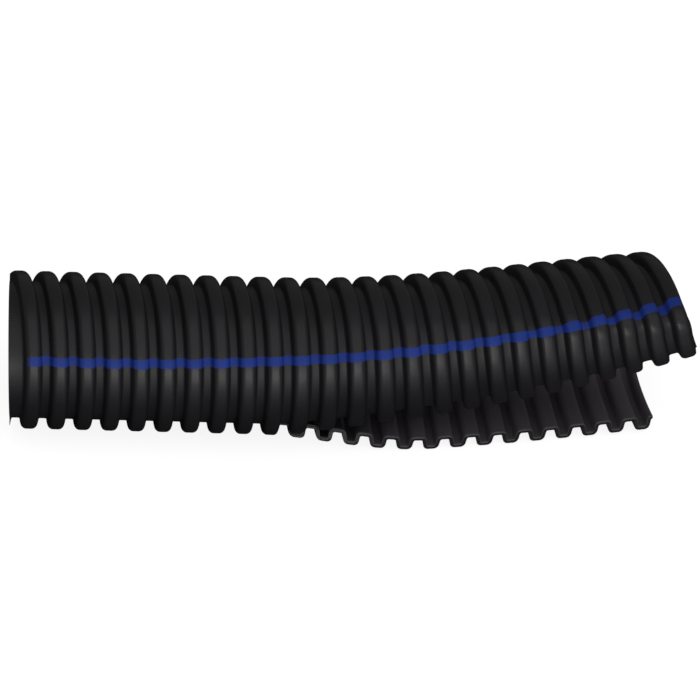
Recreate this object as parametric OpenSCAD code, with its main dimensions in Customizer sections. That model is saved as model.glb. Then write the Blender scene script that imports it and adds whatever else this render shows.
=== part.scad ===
// A short length of split loom tubing: one corrugated tube, slit along its whole length,
// lying on a level floor. The left part is straight and its slit is shut. The right part
// bends away and springs open: its front wall rises and folds inwards, and its lower lip
// lies flat on the floor as a flap.
// The waves wind around it as one right-hand screw thread, so each ends one wave further left on the flap.
// +X runs along the straight part, +Z is up, and the origin is on the bore's axis at the left cut.

/* [Tube] */
// Outside diameter over the crests of the waves
outer_d = 23.4; // [16:0.1:34]
// Inside diameter under the roots of the waves
inner_d = 19; // [12:0.1:30]
// Thickness of the wall
wall = 0.6; // [0.4:0.05:0.8]

/* [Waves] */
// Length of one wave along the tube
wave_pitch = 4; // [3.6:0.1:5]
// Number of waves
waves = 25; // [16:1:40]
// Number of waves in the straight part
straight_waves = 10; // [4:1:12]
// Width of a crest across its flat top
crest_w = 2.1; // [1.8:0.05:2.6]
// Run of a wave's side along the tube
flank_w = 0.3; // [0.2:0.05:0.4]

/* [Ends and slit] */
// Distance from the left cut to the middle of the first crest, at the front lip
first_crest = 3.1; // [2.5:0.1:4]
// Lean of the left cut towards the front, in degrees off square
cut_lean_front = 5.5; // [0:0.5:8]
// Lean of the left cut towards the top, in degrees off square
cut_lean_top = 5.9; // [0:0.1:8]
// Length of root left past the last crest
end_stub = 0.2; // [0.1:0.05:0.5]
// Gap between the two lips where the slit is shut
slit_gap = 0.3; // [0.1:0.05:0.8]
// Place of the shut slit, in degrees below the level on the front
slit_angle = 48.5; // [40:0.5:60]

/* [Open part] */
// Turn of the open part away from the front, in degrees
bend = 10; // [1:0.5:25]
// Length over which the flap flattens onto the floor
opening_l = 26; // [8:0.5:30]
// Rise of the front lip at the right end, in degrees around the tube
lip_rise_end = 73.5; // [45:0.5:85]
// Inward fold of the front wall at the right end, in degrees
fold = 35.5; // [0:0.5:45]
// Place of the fold's middle, in degrees above the level on the front
fold_angle = 54; // [40:1:70]
// Spread of the fold around the tube, in degrees
fold_w = 30; // [20:1:50]
// Slide of the folded wall's lip to the right, along the tube
lip_slide = 1.4; // [0:0.1:2]
// Growth of the tube's depth at the right end
depth_growth = 2.5; // [0:0.1:3]
// Bulge of the tube's back at the right end
back_bulge = 1.2; // [0:0.1:4]
// Share of the shut tube's curl that the flap keeps at the right end
flap_curl = 0.28; // [0:0.02:1]

/* [Hidden] */

outer_r = outer_d / 2;
inner_r = inner_d / 2;
wave_h = outer_r - inner_r - wall;
root_w = wave_pitch - crest_w - 2 * flank_w;

// Shift of the wall's inner corners along the tube, which keeps the wall's thickness in the flanks
flank_l = sqrt(pow(flank_w, 2) + pow(wave_h, 2));
corner_shift = wall * (flank_l - flank_w) / wave_h;

// The slit's half gap as an angle, and the flap's length from the floor contact to its lip
half_gap = asin(slit_gap / 2 / outer_r);
flap_turn = 90 - slit_angle - half_gap;
flap_l = outer_r * flap_turn * PI / 180;

// Steps around the section: the shut tube's arch from the front lip over to the floor, and the flap
arch_turn = 270 + slit_angle - half_gap;
arch_steps = 23;
flap_steps = 4;
steps = arch_steps + flap_steps;

// Where the back's bulge starts on the arch, and the arch's step for working out its slope
bulge_start = 125;
slope_step = 0.5;

// The least turn of the flap's arc, which stands for a flat flap
flat_turn = 0.01;

// Stock left on the crests and in the bore, twice what the sweep's flat facets sag, before they are turned
stock = 2 * outer_r * (1 - cos(arch_turn / arch_steps / 2));

// The straight part ends in the root after its last wave. The open part starts within the wall of that root,
// further from the bore than from the wall's outer face, because flat facets sag inwards.
joint_x = first_crest + (straight_waves - 0.5) * wave_pitch;
joint_reach = root_w / 3;
joint_inset_outside = wall / 8;
joint_inset_inside = wall / 4;
tube_l = first_crest + (waves - 1) * wave_pitch + crest_w / 2 + flank_w + end_stub;
open_l = tube_l - joint_x;

function ramp(x) = x <= 0 ? 0 : x >= 1 ? 1 : x * x * (3 - 2 * x);
function open_share(s) = max(0, min(1, (s - joint_x) / open_l));
function flattened(s) = ramp((s - joint_x) / opening_l);

// Sizes of the section at a distance s along the tube
function depth_r(s) = outer_r + depth_growth * ramp(open_share(s));
function lip_angle(s) = -slit_angle + half_gap + lip_rise_end * open_share(s);
function back_out(s, a) =
    back_bulge * ramp(open_share(s)) * pow(sin(180 * max(0, a - bulge_start) / (270 - bulge_start)), 2);

// Place of step j around the section as [forward, up, normal forward, normal up]. The arch is folded inwards
// below its fold, about the point where the fold's middle lies.
function on_section(s, j) = j <= arch_steps
    ? on_arch(s, step_angle(s, j))
    : on_flap(s, (j - arch_steps) / flap_steps);
function step_angle(s, j) = lip_angle(s) + (270 - lip_angle(s)) * j / arch_steps;
function arch_place(s, a) = let (d = depth_r(s), out = back_out(s, a))
    [d * cos(a) - (d - outer_r) + out * cos(a), (outer_r + out) * sin(a)];
function folded_place(s, a) =
    let (
        pivot = arch_place(s, fold_angle),
        p = arch_place(s, a) - pivot,
        turn = fold * open_share(s) * ramp((fold_angle + fold_w / 2 - a) / fold_w)
    )
    pivot + [p[0] * cos(turn) + p[1] * sin(turn), p[1] * cos(turn) - p[0] * sin(turn)];
function on_arch(s, a) =
    let (
        p = folded_place(s, a),
        t = folded_place(s, a + slope_step) - folded_place(s, a - slope_step),
        n = norm(t)
    )
    [p[0], p[1], t[1] / n, -t[0] / n];

// The flap is an arc that starts on the floor, flattens as the slit springs open and curls a little at its end
function flap_flatness(s) = flattened(s) * (1 - flap_curl * pow(open_share(s), 3));
function on_flap(s, share) =
    let (
        turn = max(flat_turn, flap_turn * (1 - flap_flatness(s))),
        r = flap_l / (turn * PI / 180),
        a = turn * share
    )
    [r * sin(a) - (depth_r(s) - outer_r), r * (1 - cos(a)) - outer_r, sin(a), -cos(a)];

// Along the thread, step j lies a share of a wave to the left of the front lip. Below the top of the fold
// the wall also slides to the right, most at its lip.
function turn_share(j) = (j <= arch_steps
    ? arch_turn * j / arch_steps
    : arch_turn + flap_turn * (j - arch_steps) / flap_steps) / 360;
function slide(s, j) = let (top = fold_angle + fold_w / 2)
    lip_slide * flattened(s) * pow(max(0, top - step_angle(s, j)) / (top - lip_angle(s)), 2);
function axial(s, j) = s - wave_pitch * turn_share(j) + slide(s, j);

// Point on the tube: distance s along it at the front lip, step j around it, out from the crests' surface
function heading(x) = bend * max(0, x - joint_x) / open_l;
function path(x) = let (a = heading(x), r = open_l / (bend * PI / 180))
    [min(x, joint_x) + r * sin(a), r * (1 - cos(a))];
function tube_point(s, j, out) =
    let (p = on_section(s, j), x = axial(s, j), a = heading(x), c = path(x), f = p[0] + out * p[2])
    [c[0] + f * sin(a), c[1] - f * cos(a), p[1] + out * p[3]];

// Corners of some waves at the front lip as [distance along the tube, height from the crests' surface].
// Crests that are proud and roots that are sunk keep the slope of the flanks.
function flank_run(h) = flank_w * h / wave_h;
function wave_corners(first, last, shift = 0, drop = 0, proud = 0, sunk = 0) =
    let (
        top = crest_w / 2 - shift - flank_run(proud),
        foot = crest_w / 2 + flank_w - shift + flank_run(sunk)
    )
    [
        for (k = [first:last])
            let (x = first_crest + (k - 1) * wave_pitch)
            each [
                [x - foot, -wave_h - drop - sunk],
                [x - top, -drop + proud],
                [x + top, -drop + proud],
                [x + foot, -wave_h - drop - sunk]
            ]
    ];

module split_tube() {
    color([0.07, 0.07, 0.08])
        union() {
            straight_part();
            open_part();
        }
}

// The straight part is swept with stock on its crests and in its bore, turned to size, and cut at the left
module straight_part() {
    start = -wave_pitch;
    bore_h = -wave_h - wall - stock;
    difference() {
        intersection() {
            sweep(
                concat(
                    [[start, -wave_h]],
                    wave_corners(1, straight_waves, proud = stock),
                    [[joint_x, -wave_h]]
                ),
                concat(
                    [[start, bore_h]],
                    wave_corners(1, straight_waves, corner_shift, wall, sunk = stock),
                    [[joint_x, bore_h]]
                )
            );
            along_axis(outer_r);
        }
        along_axis(inner_r);
        left_cut();
    }
}

// A true cylinder on the tube's axis, longer than the straight part at both ends
module along_axis(r) {
    over = 3 * wave_pitch;
    translate([-over, 0, 0])
        rotate([0, 90, 0])
            cylinder(h = joint_x + 2 * over, r = r, $fn = 128);
}

// What the left cut takes away: everything on its left
module left_cut() {
    size = 4 * outer_d;
    rotate([0, -cut_lean_top, -cut_lean_front])
        translate([-size, -size / 2, -size / 2])
            cube(size);
}

// The open part is swept from within the straight part's last root to the right end
module open_part() {
    first = straight_waves + 1;
    neck_outside = -wave_h - joint_inset_outside;
    neck_inside = -wave_h - wall + joint_inset_inside;
    sweep(
        concat(
            [for (side = [-1, 1]) [joint_x + side * joint_reach, neck_outside]],
            wave_corners(first, waves),
            [[tube_l, -wave_h]]
        ),
        concat(
            [for (side = [-1, 1]) [joint_x + side * joint_reach, neck_inside]],
            wave_corners(first, waves, corner_shift, wall),
            [[tube_l, -wave_h - wall]]
        )
    );
}

// A wall swept around the section from lip to lip. Its outside and inside outlines have as many corners each.
module sweep(outside, inside) {
    rows = len(outside);
    cols = steps + 1;
    inner_first = rows * cols;
    points = concat(
        [for (c = outside) for (j = [0:steps]) tube_point(c[0], j, c[1])],
        [for (c = inside) for (j = [0:steps]) tube_point(c[0], j, c[1])]
    );
    skins = [
        for (i = [0:rows - 2])
            for (j = [0:steps - 1])
                let (a = i * cols + j, b = a + 1, c = b + cols, d = a + cols, e = inner_first)
                each [[a, b, c], [a, c, d], [e + a, e + c, e + b], [e + a, e + d, e + c]]
    ];
    lips = [
        for (i = [0:rows - 2])
            for (j = [0, steps])
                let (a = i * cols + j, d = a + cols, e = inner_first + a, f = inner_first + d)
                each j == 0 ? [[a, d, f], [a, f, e]] : [[a, f, d], [a, e, f]]
    ];
    ends = [
        for (i = [0, rows - 1])
            for (j = [0:steps - 1])
                let (a = i * cols + j, b = a + 1, e = inner_first + a, f = inner_first + b)
                each i == 0 ? [[a, f, b], [a, e, f]] : [[a, b, f], [a, f, e]]
    ];
    polyhedron(points, concat(skins, lips, ends));
}

split_tube();
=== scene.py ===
# Looks of a short length of split loom tubing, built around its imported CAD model
import math

import bmesh
import bpy
import numpy as np
from mathutils import Matrix, Vector


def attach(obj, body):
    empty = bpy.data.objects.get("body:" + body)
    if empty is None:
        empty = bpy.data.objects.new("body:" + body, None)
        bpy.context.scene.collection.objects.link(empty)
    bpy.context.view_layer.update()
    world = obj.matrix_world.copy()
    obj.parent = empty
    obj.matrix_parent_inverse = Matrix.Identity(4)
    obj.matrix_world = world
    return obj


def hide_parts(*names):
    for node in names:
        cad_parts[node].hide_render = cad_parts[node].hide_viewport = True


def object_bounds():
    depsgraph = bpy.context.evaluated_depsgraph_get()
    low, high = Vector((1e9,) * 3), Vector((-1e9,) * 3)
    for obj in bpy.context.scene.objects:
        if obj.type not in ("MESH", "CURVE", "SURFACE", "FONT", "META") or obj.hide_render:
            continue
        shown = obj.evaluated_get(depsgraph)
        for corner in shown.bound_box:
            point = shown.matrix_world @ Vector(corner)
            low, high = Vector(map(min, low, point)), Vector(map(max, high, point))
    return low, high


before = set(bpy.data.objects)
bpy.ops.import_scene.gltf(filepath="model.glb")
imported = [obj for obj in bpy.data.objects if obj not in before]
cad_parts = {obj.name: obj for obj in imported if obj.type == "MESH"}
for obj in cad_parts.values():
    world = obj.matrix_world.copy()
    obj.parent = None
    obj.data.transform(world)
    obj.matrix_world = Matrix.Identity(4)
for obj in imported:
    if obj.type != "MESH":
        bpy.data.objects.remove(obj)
cad_low, cad_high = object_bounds()

MM = 0.001

# The tube, in millimetres and degrees, with the same sizes as the CAD model
OUTER_R = 11.7
INNER_R = 9.5
WALL = 0.6
WAVE_PITCH = 4.0
WAVES = 25
STRAIGHT_WAVES = 10
CREST_W = 2.1
FLANK_W = 0.3
FIRST_CREST = 3.1
CUT_LEAN_FRONT = 5.5
CUT_LEAN_TOP = 5.9
END_STUB = 0.2
SLIT_GAP = 0.3
SLIT_ANGLE = 48.5
BEND = 10.0
OPENING_L = 26.0
LIP_RISE_END = 73.5
FOLD = 35.5
FOLD_ANGLE = 54.0
FOLD_W = 30.0
FOLD_TOP = FOLD_ANGLE + FOLD_W / 2
LIP_SLIDE = 1.4
DEPTH_GROWTH = 2.5
BACK_BULGE = 1.2
BULGE_START = 125.0
FLAP_CURL = 0.28
FLOOR_ANGLE = 270.0

WAVE_H = OUTER_R - INNER_R - WALL
FLANK_L = math.hypot(FLANK_W, WAVE_H)
CORNER_SHIFT = WALL * (FLANK_L - FLANK_W) / WAVE_H
HALF_GAP = math.degrees(math.asin(SLIT_GAP / 2 / OUTER_R))
ARCH_TURN = FLOOR_ANGLE + SLIT_ANGLE - HALF_GAP
FLAP_TURN = 90 - SLIT_ANGLE - HALF_GAP
FLAP_L = OUTER_R * math.radians(FLAP_TURN)
JOINT_X = FIRST_CREST + (STRAIGHT_WAVES - 0.5) * WAVE_PITCH
TUBE_L = FIRST_CREST + (WAVES - 1) * WAVE_PITCH + CREST_W / 2 + FLANK_W + END_STUB
OPEN_L = TUBE_L - JOINT_X

# Rounding of the moulded waves and of the knife's cuts, in millimetres, the share of a side that one
# rounding may take, the steps of each, and the angle in degrees past which an edge is shaded sharp
CREST_ROUND = 0.78
CREST_ROUND_INSIDE = 0.18
FOOT_ROUND = 0.3
FOOT_ROUND_INSIDE = 0.7
ROUND_LIMIT = 0.9
CREST_STEPS = 5
FOOT_STEPS = 3
CUT_ROUND = 0.09
SMOOTH_ANGLE = 50

# Share of the way through the wall, from its outside, where a cut face takes the inside's lighter colour,
# which is painted light
INSIDE_EDGE = (0.85, 1.0)

# Columns of the mesh around the arch and across the flap
ARCH_COLUMNS = 76
FLAP_COLUMNS = 10

# The blue stripe: its width, where it fades in, its place in degrees above the level on the front,
# from where it climbs, in degrees for each millimetre along the tube, and how the climb grows
STRIPE_W = 1.38
STRIPE_FADE = (1.1, 2.0)
STRIPE_ANGLE = 28.0
STRIPE_CLIMB_START = 18.0
STRIPE_CLIMB = 0.146
STRIPE_CLIMB_GROWTH = 0.0041

# What a point far from the stripe holds for its distance from it
NO_STRIPE = 99.0

# The step for working out the arch's slope and the least turn of the flap's arc, in degrees,
# the turn below which a corner isn't rounded, in radians, and the left cut's tolerance, in metres
SLOPE_STEP = 0.25
FLAT_TURN = 0.01
STRAIGHT_TURN = 1e-6
CUT_TOLERANCE = 1e-8

# Colours of the plastic and of the stripe, each from its darkest to its lightest cloud, and of the inside,
# painted lighter as painted light
BLACK = ((0.015, 0.014, 0.016, 1), (0.024, 0.022, 0.026, 1))
BLUE = ((0.020, 0.044, 0.270, 1), (0.030, 0.072, 0.390, 1))
INSIDE_PAINTED_LIGHT = (0.140, 0.126, 0.145, 1)

# Scales of the noises, for each metre, and the detail of the finest one
CLOUD_SCALE = 160.0
WANDER_SCALE = 420.0
UNEVEN_SCALE = 900.0
GRAIN_SCALE = 5200.0
GRAIN_DETAIL = 2.0

# The stripe's edge: how widely it wanders and how softly it ends, in millimetres
STRIPE_WANDER = 0.22
STRIPE_SOFT = 0.05

# Roughness over the clouds' range, and how much smoother the crests are than the roots
CLOUD_RANGE = (0.3, 0.7)
ROUGHNESS = (0.44, 0.52)
CREST_SMOOTHER = 0.10

# Strength and depth, in metres, of the coarse unevenness and of the fine grain
UNEVEN_BUMP = (0.25, 0.00005)
GRAIN_BUMP = (0.3, 0.00001)

# Specular level of the black outside, and of the stripe and the inside, and the index of refraction
SHINE = (0.42, 0.12)
PLASTIC_IOR = 1.51

# The floor, in metres: the camera sees it lit and glowing. The tube mirrors a darker copy of it, with
# painted shade close by and a painted glow further out to the front.
WHITE = (1, 1, 1, 1)
FLOOR_SIZE = 6.0
FLOOR_COLOUR = (0.62, 0.62, 0.62, 1)
FLOOR_SEEN_GLOW = 0.86
FLOOR_MIRRORED_SHADE = (0.08, 0.08, 0.08, 1)
FLOOR_DARK_NEAR = 0.022
FLOOR_BRIGHT_FROM = 0.055
FLOOR_GLOW = 0.42

# Strength of the surroundings as light, and as the camera sees them
WORLD_LIGHT = 0.16
WORLD_SEEN = 1.0

# The softboxes: name, place from the tube's middle, width and height in metres, and power in watts
SOFTBOXES = (
    ("front_softbox", (0.08, -0.75, 0.10), 0.55, 0.24, 1.55),
    ("top_softbox", (0.10, -0.45, 0.75), 1.2, 1.0, 1.6),
)

# The camera looks down from the front and a little from the left, through a very long lens. The view's
# width and its middle, to the right and up, are in millimetres, and the clipping distances in metres.
CAMERA_AZIMUTH = -9.878
CAMERA_ELEVATION = 36.5
CAMERA_ROLL = 7.373
CAMERA_LENS = 1000.0
CAMERA_SENSOR = 36.0
CAMERA_CLIP = (0.1, 20)
VIEW_W = 103.6
VIEW_RIGHT = 50.39
VIEW_UP = -0.12


def ramp(x):
    x = np.clip(x, 0, 1)
    return x * x * (3 - 2 * x)


def open_share(s):
    return np.clip((s - JOINT_X) / OPEN_L, 0, 1)


def flattened(s):
    return ramp((s - JOINT_X) / OPENING_L)


def depth_r(s):
    return OUTER_R + DEPTH_GROWTH * ramp(open_share(s))


def lip_angle(s):
    return -SLIT_ANGLE + HALF_GAP + LIP_RISE_END * open_share(s)


def arch_place(s, angle):
    """Forward and up on the crests' surface, at an angle above the level on the front."""
    bulge = np.sin(math.pi * np.maximum(0, angle - BULGE_START) / (FLOOR_ANGLE - BULGE_START)) ** 2
    out = BACK_BULGE * ramp(open_share(s)) * bulge
    a, depth = np.radians(angle), depth_r(s)
    return (depth + out) * np.cos(a) - (depth - OUTER_R), (OUTER_R + out) * np.sin(a)


def folded_place(s, angle):
    """The same, with the front wall folded inwards below the fold."""
    pivot_forward, pivot_up = arch_place(s, FOLD_ANGLE)
    forward, up = arch_place(s, angle)
    forward, up = forward - pivot_forward, up - pivot_up
    turn = np.radians(FOLD * open_share(s) * ramp((FOLD_TOP - angle) / FOLD_W))
    return (
        pivot_forward + forward * np.cos(turn) + up * np.sin(turn),
        pivot_up + up * np.cos(turn) - forward * np.sin(turn),
    )


def arch_angle(s, share):
    """Angle above the level on the front, from the front lip at share 0 to the floor at share 1."""
    return lip_angle(s) + (FLOOR_ANGLE - lip_angle(s)) * share


def arch(s, share):
    """Place and outward direction on the arch."""
    angle = arch_angle(s, share)
    forward, up = folded_place(s, angle)
    forward_ahead, up_ahead = folded_place(s, angle + SLOPE_STEP)
    forward_back, up_back = folded_place(s, angle - SLOPE_STEP)
    run, rise = forward_ahead - forward_back, up_ahead - up_back
    length = np.hypot(run, rise)
    return forward, up, rise / length, -run / length


def flap(s, share):
    """Place and outward direction on the flap, from the floor at share 0 to its lip at share 1."""
    flatness = flattened(s) * (1 - FLAP_CURL * open_share(s) ** 3)
    turn = np.radians(np.maximum(FLAT_TURN, FLAP_TURN * (1 - flatness)))
    radius = FLAP_L / turn
    a = turn * share
    forward = radius * np.sin(a) - (depth_r(s) - OUTER_R)
    up = radius * (1 - np.cos(a)) - OUTER_R
    return forward, up, np.sin(a), -np.cos(a)


def slide(s, angle):
    """How far the folded wall slides to the right along the tube, most at its lip."""
    return LIP_SLIDE * flattened(s) * (np.maximum(0, FOLD_TOP - angle) / (FOLD_TOP - lip_angle(s))) ** 2


def tube_points(s, columns, out):
    """Points of the wall, and how far along the tube each lies: s along the tube at the front lip,
    columns around it, out from the crests' surface."""
    on_arch, share, turn = columns
    s, share, out = np.broadcast_arrays(s[:, None], share[None, :], out)
    place = [np.where(on_arch, a, b) for a, b in zip(arch(s, share), flap(s, share))]
    forward, up, normal_forward, normal_up = place
    x = s - WAVE_PITCH * turn / 360 + np.where(on_arch, slide(s, arch_angle(s, share)), 0)
    a = np.radians(BEND * np.maximum(0, x - JOINT_X) / OPEN_L)
    radius = OPEN_L / math.radians(BEND)
    f = forward + out * normal_forward
    points = np.stack(
        [
            np.minimum(x, JOINT_X) + radius * np.sin(a) + f * np.sin(a),
            radius * (1 - np.cos(a)) - f * np.cos(a),
            up + out * normal_up,
        ],
        axis=-1,
    )
    return points, x


def tube_columns():
    """The columns as three lists: on the arch or on the flap, the share of it, and the turn from the
    front lip. The outermost ones lie close to the lips, where the knife's edges are rounded."""
    edge = CUT_ROUND * np.array([0, 1, 2])
    arch_l = OUTER_R * math.radians(ARCH_TURN)
    arch_shares = np.concatenate([edge / arch_l, np.linspace(0, 1, ARCH_COLUMNS)[1:]])
    flap_shares = np.concatenate([np.linspace(0, 1, FLAP_COLUMNS)[1:-1], 1 - edge[::-1] / FLAP_L])
    on_arch = np.array([True] * len(arch_shares) + [False] * len(flap_shares))
    turn = np.concatenate([ARCH_TURN * arch_shares, ARCH_TURN + FLAP_TURN * flap_shares])
    return on_arch, np.concatenate([arch_shares, flap_shares]), turn


def rounded(corners):
    """Points along an outline whose corners are (x, height, radius, steps)."""
    points = [corners[0][:2]]
    for before, (x, y, radius, steps), after in zip(corners, corners[1:], corners[2:]):
        corner = np.array([x, y])
        back, ahead = np.array(before[:2]) - corner, np.array(after[:2]) - corner
        back_l, ahead_l = np.linalg.norm(back), np.linalg.norm(ahead)
        turn = math.pi - math.acos(np.clip(back @ ahead / back_l / ahead_l, -1, 1))
        if steps == 0 or turn < STRAIGHT_TURN:
            points.append((x, y))
            continue
        cut = min(radius * math.tan(turn / 2), ROUND_LIMIT * back_l, ROUND_LIMIT * ahead_l)
        start, end = corner + back / back_l * cut, corner + ahead / ahead_l * cut
        radius = cut / math.tan(turn / 2)
        inward = (start + end) / 2 - corner
        centre = corner + inward / np.linalg.norm(inward) * math.hypot(radius, cut)
        first = start - centre
        side = math.copysign(1, back[1] * ahead[0] - back[0] * ahead[1])
        for i in range(steps + 1):
            a = side * turn * i / steps
            points.append(
                (
                    centre[0] + first[0] * math.cos(a) - first[1] * math.sin(a),
                    centre[1] + first[0] * math.sin(a) + first[1] * math.cos(a),
                )
            )
    points.append(corners[-1][:2])
    return np.array(points)


def wall_outline(shift, drop, crest_round, foot_round):
    """One side of the wall along the tube, as points of (distance at the front lip, height)."""
    top, foot = CREST_W / 2 - shift, CREST_W / 2 + FLANK_W - shift
    low = -WAVE_H - drop
    corners = [(-WAVE_PITCH, low, 0, 0)]
    for k in range(WAVES):
        x = FIRST_CREST + k * WAVE_PITCH
        corners += [
            (x - foot, low, foot_round, FOOT_STEPS),
            (x - top, -drop, crest_round, CREST_STEPS),
            (x, -drop, 0, 0),
            (x + top, -drop, crest_round, CREST_STEPS),
            (x + foot, low, foot_round, FOOT_STEPS),
        ]
    corners += [(TUBE_L - CUT_ROUND, low, 0, 0), (TUBE_L, low, 0, 0)]
    return rounded(corners)


def stripe_distance(s, columns, x, out):
    """Distance of each outside point from the stripe's middle, in millimetres around the tube."""
    on_arch, share, _ = columns
    past = np.maximum(0, x - STRIPE_CLIMB_START)
    middle = STRIPE_ANGLE + STRIPE_CLIMB * past + STRIPE_CLIMB_GROWTH * past**2
    distance = np.radians(arch_angle(s[:, None], share[None, :]) - middle) * (OUTER_R + out)
    return np.where(on_arch[None, :], distance, NO_STRIPE)


def skin_faces(rows, cols, first, flip):
    """Quads of a grid of points, with the grid's first point number."""
    i, j = np.meshgrid(np.arange(rows - 1), np.arange(cols - 1), indexing="ij")
    a = first + i * cols + j
    quads = np.stack([a, a + 1, a + cols + 1, a + cols], axis=-1).reshape(-1, 4)
    return quads[:, ::-1] if flip else quads


def rim_faces(outside, inside, flip):
    """Quads between the two skins along a rim."""
    quads = np.stack([outside[:-1], outside[1:], inside[1:], inside[:-1]], axis=-1)
    return quads[:, ::-1] if flip else quads


def tube_mesh():
    columns = tube_columns()
    outside = wall_outline(0, 0, CREST_ROUND, FOOT_ROUND)
    inside = wall_outline(CORNER_SHIFT, WALL, CREST_ROUND_INSIDE, FOOT_ROUND_INSIDE)
    rows, cols = len(outside), len(columns[0])
    inset = np.zeros((rows, cols))
    inset[:, [0, -1]] = CUT_ROUND
    inset[-1, :] = CUT_ROUND
    outer_points, outer_x = tube_points(outside[:, 0], columns, outside[:, 1:] - inset)
    inner_points, inner_x = tube_points(inside[:, 0], columns, inside[:, 1:] + inset)
    grid = np.arange(rows * cols).reshape(rows, cols)
    second = rows * cols
    faces = np.concatenate(
        [
            skin_faces(rows, cols, 0, True),
            skin_faces(rows, cols, second, False),
            rim_faces(grid[:, 0], grid[:, 0] + second, True),
            rim_faces(grid[:, -1], grid[:, -1] + second, False),
            rim_faces(grid[-1], grid[-1] + second, True),
        ]
    )
    points = np.concatenate([outer_points.reshape(-1, 3), inner_points.reshape(-1, 3)]) * MM
    stripe = stripe_distance(outside[:, 0], columns, outer_x, outside[:, 1:])
    relief = np.broadcast_to(1 + outside[:, 1:] / WAVE_H, (rows, cols))
    none = np.zeros((rows, cols))
    values = {
        "stripe": np.concatenate([stripe.ravel(), (none + NO_STRIPE).ravel()]),
        "along": np.concatenate([outer_x.ravel(), inner_x.ravel()]),
        "relief": np.concatenate([relief.ravel(), none.ravel()]),
        "inside": np.concatenate([none.ravel(), (none + 1).ravel()]),
    }
    mesh = bpy.data.meshes.new("split_loom")
    mesh.from_pydata(points.tolist(), [], faces.tolist())
    for name, data in values.items():
        attribute = mesh.attributes.new(name, "FLOAT", "POINT")
        attribute.data.foreach_set("value", data.astype(np.float32))
    return mesh


def cut_left(mesh):
    """Cuts the tube's left end off along a leaning plane, and closes the wall there."""
    top, front = math.radians(CUT_LEAN_TOP), math.radians(CUT_LEAN_FRONT)
    normal = Vector((math.cos(top) * math.cos(front), -math.cos(top) * math.sin(front), math.sin(top)))
    bm = bmesh.new()
    bm.from_mesh(mesh)
    everything = bm.verts[:] + bm.edges[:] + bm.faces[:]
    bmesh.ops.bisect_plane(
        bm, geom=everything, dist=CUT_TOLERANCE, plane_co=(0, 0, 0), plane_no=normal, clear_inner=True
    )
    rim = [e for e in bm.edges if e.is_boundary]
    filled = bmesh.ops.holes_fill(bm, edges=rim, sides=0)
    bmesh.ops.triangulate(bm, faces=filled["faces"])
    bmesh.ops.recalc_face_normals(bm, faces=bm.faces[:])
    bm.to_mesh(mesh)
    bm.free()


def make_tube():
    mesh = tube_mesh()
    cut_left(mesh)
    mesh.shade_smooth()
    mesh.set_sharp_from_angle(angle=math.radians(SMOOTH_ANGLE))
    tube = bpy.data.objects.new("split_loom", mesh)
    bpy.context.scene.collection.objects.link(tube)
    mesh.materials.append(polyethylene())
    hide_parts("split_tube")
    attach(tube, "root")


class Nodes:
    """A short way to write shader nodes: each call adds a node and links or sets its inputs."""

    def __init__(self, material):
        material.use_nodes = True
        self.tree = material.node_tree
        self.tree.nodes.clear()

    def add(self, kind, inputs=(), **settings):
        node = self.tree.nodes.new("ShaderNode" + kind)
        for name, value in settings.items():
            setattr(node, name, value)
        for name, value in dict(inputs).items():
            if isinstance(value, bpy.types.NodeSocket):
                self.tree.links.new(value, node.inputs[name])
            else:
                node.inputs[name].default_value = value
        return node

    def math(self, operation, a, b=0.0):
        return self.add("Math", {0: a, 1: b}, operation=operation).outputs[0]

    def noise(self, place, scale, detail=3.0):
        node = self.add("TexNoise", {"Vector": place, "Scale": scale, "Detail": detail})
        return node.outputs["Fac"]

    def mix(self, share, a, b):
        node = self.add("Mix", {"Factor": share}, data_type="RGBA")
        for socket, value in ((node.inputs[6], a), (node.inputs[7], b)):
            if isinstance(value, bpy.types.NodeSocket):
                self.tree.links.new(value, socket)
            else:
                socket.default_value = value
        return node.outputs[2]

    def spread(self, value, low, high, to_low=0.0, to_high=1.0):
        inputs = {"Value": value, "From Min": low, "From Max": high, "To Min": to_low, "To Max": to_high}
        return self.add("MapRange", inputs).outputs[0]

    def bump(self, height, strength, distance, inputs=()):
        inputs = {"Height": height, "Strength": strength, "Distance": distance, **dict(inputs)}
        return self.add("Bump", inputs).outputs[0]

    def attribute(self, name):
        return self.add("Attribute", attribute_name=name).outputs["Fac"]


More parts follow.
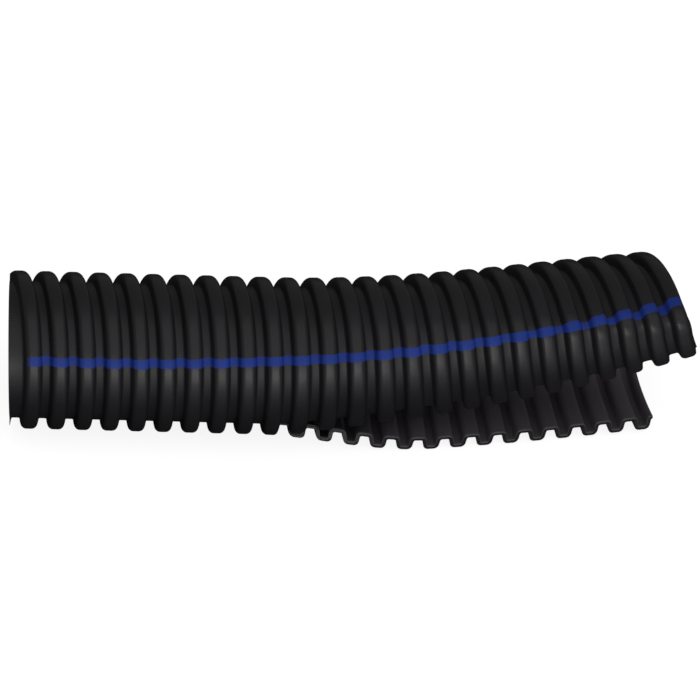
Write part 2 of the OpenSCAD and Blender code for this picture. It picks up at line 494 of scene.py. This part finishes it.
def polyethylene():
    """Satin moulded black polyethylene with a thin blue stripe along its outside."""
    material = bpy.data.materials.new("black_polyethylene")
    n = Nodes(material)
    place = n.add("TexCoord").outputs["Object"]
    stripe, along, relief, inside = (n.attribute(name) for name in ("stripe", "along", "relief", "inside"))
    inside = n.spread(inside, *INSIDE_EDGE)

    cloudy = n.noise(place, CLOUD_SCALE)
    grain = n.noise(place, GRAIN_SCALE, GRAIN_DETAIL)
    black = n.mix(cloudy, *BLACK)
    # The inside, the same black plastic, is painted a lighter grey: painted light for its shaded hollow
    # and grooves
    black = n.mix(inside, black, INSIDE_PAINTED_LIGHT)

    wander = n.math("MULTIPLY", n.math("SUBTRACT", n.noise(place, WANDER_SCALE), 0.5), STRIPE_WANDER)
    from_middle = n.math("ABSOLUTE", n.math("ADD", stripe, wander))
    in_stripe = n.spread(from_middle, STRIPE_W / 2 - STRIPE_SOFT, STRIPE_W / 2 + STRIPE_SOFT, 1.0, 0.0)
    started = n.spread(along, *STRIPE_FADE)
    in_stripe = n.math("MULTIPLY", in_stripe, n.math("MULTIPLY", started, n.math("SUBTRACT", 1.0, inside)))
    blue = n.mix(cloudy, *BLUE)

    smoother = n.math("MULTIPLY", relief, CREST_SMOOTHER)
    rough = n.math("SUBTRACT", n.spread(cloudy, *CLOUD_RANGE, *ROUGHNESS), smoother)
    uneven = n.noise(place, UNEVEN_SCALE)
    coarse = n.bump(uneven, *UNEVEN_BUMP)
    fine = n.bump(grain, *GRAIN_BUMP, {"Normal": coarse})
    shine = n.spread(n.math("ADD", in_stripe, inside), 0.0, 1.0, *SHINE)
    plastic = n.add(
        "BsdfPrincipled",
        {
            "Base Color": n.mix(in_stripe, black, blue),
            "Roughness": rough,
            "Specular IOR Level": shine,
            "Normal": fine,
            "IOR": PLASTIC_IOR,
        },
    )
    n.add("OutputMaterial", {"Surface": plastic.outputs[0]})
    return material


def floor_material():
    """A pale floor that the camera sees as near white, with the object's shadow on it; in reflections,
    painted shade.
    """
    material = bpy.data.materials.new("pale_floor")
    n = Nodes(material)
    lit = n.add("BsdfDiffuse", {"Color": FLOOR_COLOUR})
    seen = n.add("LightPath").outputs["Is Camera Ray"]
    white = n.add("Emission", {"Color": WHITE, "Strength": FLOOR_SEEN_GLOW})
    both = n.add("AddShader", {0: lit.outputs[0], 1: white.outputs[0]})
    # What the tube mirrors of the floor: painted shade beside it and a painted glow further out to the
    # front
    place = n.add("SeparateXYZ", {"Vector": n.add("TexCoord").outputs["Object"]}).outputs["Y"]
    bright = n.spread(place, -FLOOR_DARK_NEAR, -FLOOR_BRIGHT_FROM, 0.0, FLOOR_GLOW)
    dark = n.add("BsdfDiffuse", {"Color": FLOOR_MIRRORED_SHADE})
    glow = n.add("Emission", {"Color": WHITE, "Strength": bright})
    mirrored = n.add("AddShader", {0: dark.outputs[0], 1: glow.outputs[0]})
    floor = n.add("MixShader", {0: seen, 1: mirrored.outputs[0], 2: both.outputs[0]})
    n.add("OutputMaterial", {"Surface": floor.outputs[0]})
    return material


def make_floor():
    bpy.ops.mesh.primitive_plane_add(size=FLOOR_SIZE, location=(0, 0, cad_low.z))
    floor = bpy.context.object
    floor.name = "floor"
    floor.data.materials.append(floor_material())


def make_world():
    world = bpy.data.worlds.new("studio")
    bpy.context.scene.world = world
    n = Nodes(world)
    path = n.add("LightPath").outputs["Is Camera Ray"]
    strength = n.spread(path, 0, 1, WORLD_LIGHT, WORLD_SEEN)
    surroundings = n.add("Background", {"Color": WHITE, "Strength": strength})
    n.add("OutputWorld", {"Surface": surroundings.outputs[0]})


def make_softbox(name, place, aim, width, height, power):
    """A rectangular soft light that looks at a point. All sizes are in metres."""
    lamp = bpy.data.lights.new(name, "AREA")
    lamp.shape = "RECTANGLE"
    lamp.size, lamp.size_y, lamp.energy = width, height, power
    light = bpy.data.objects.new(name, lamp)
    light.location = place
    light.rotation_mode = "QUATERNION"
    light.rotation_quaternion = (Vector(aim) - Vector(place)).to_track_quat("-Z", "Y")
    bpy.context.scene.collection.objects.link(light)


def make_lights():
    middle = (cad_low + cad_high) / 2
    for name, place, width, height, power in SOFTBOXES:
        make_softbox(name, middle + Vector(place), middle, width, height, power)


def make_camera():
    azimuth, elevation, roll = (math.radians(a) for a in (CAMERA_AZIMUTH, CAMERA_ELEVATION, CAMERA_ROLL))
    back = Vector(
        (
            math.sin(azimuth) * math.cos(elevation),
            -math.cos(azimuth) * math.cos(elevation),
            math.sin(elevation),
        )
    )
    level = Vector((math.cos(azimuth), math.sin(azimuth), 0))
    upright = back.cross(level)
    right = math.cos(roll) * level + math.sin(roll) * upright
    up = back.cross(right)
    target = (right * VIEW_RIGHT + up * VIEW_UP) * MM
    data = bpy.data.cameras.new("camera")
    data.lens, data.sensor_width = CAMERA_LENS, CAMERA_SENSOR
    data.clip_start, data.clip_end = CAMERA_CLIP
    camera = bpy.data.objects.new("camera", data)
    turn = Matrix((right, up, back)).transposed().to_4x4()
    distance = VIEW_W * MM * CAMERA_LENS / CAMERA_SENSOR
    camera.matrix_world = Matrix.Translation(target + back * distance) @ turn
    bpy.context.scene.collection.objects.link(camera)
    bpy.context.scene.camera = camera


make_camera()
make_tube()
make_floor()
make_world()
make_lights()
bpy.context.scene.view_settings.view_transform = "Standard"
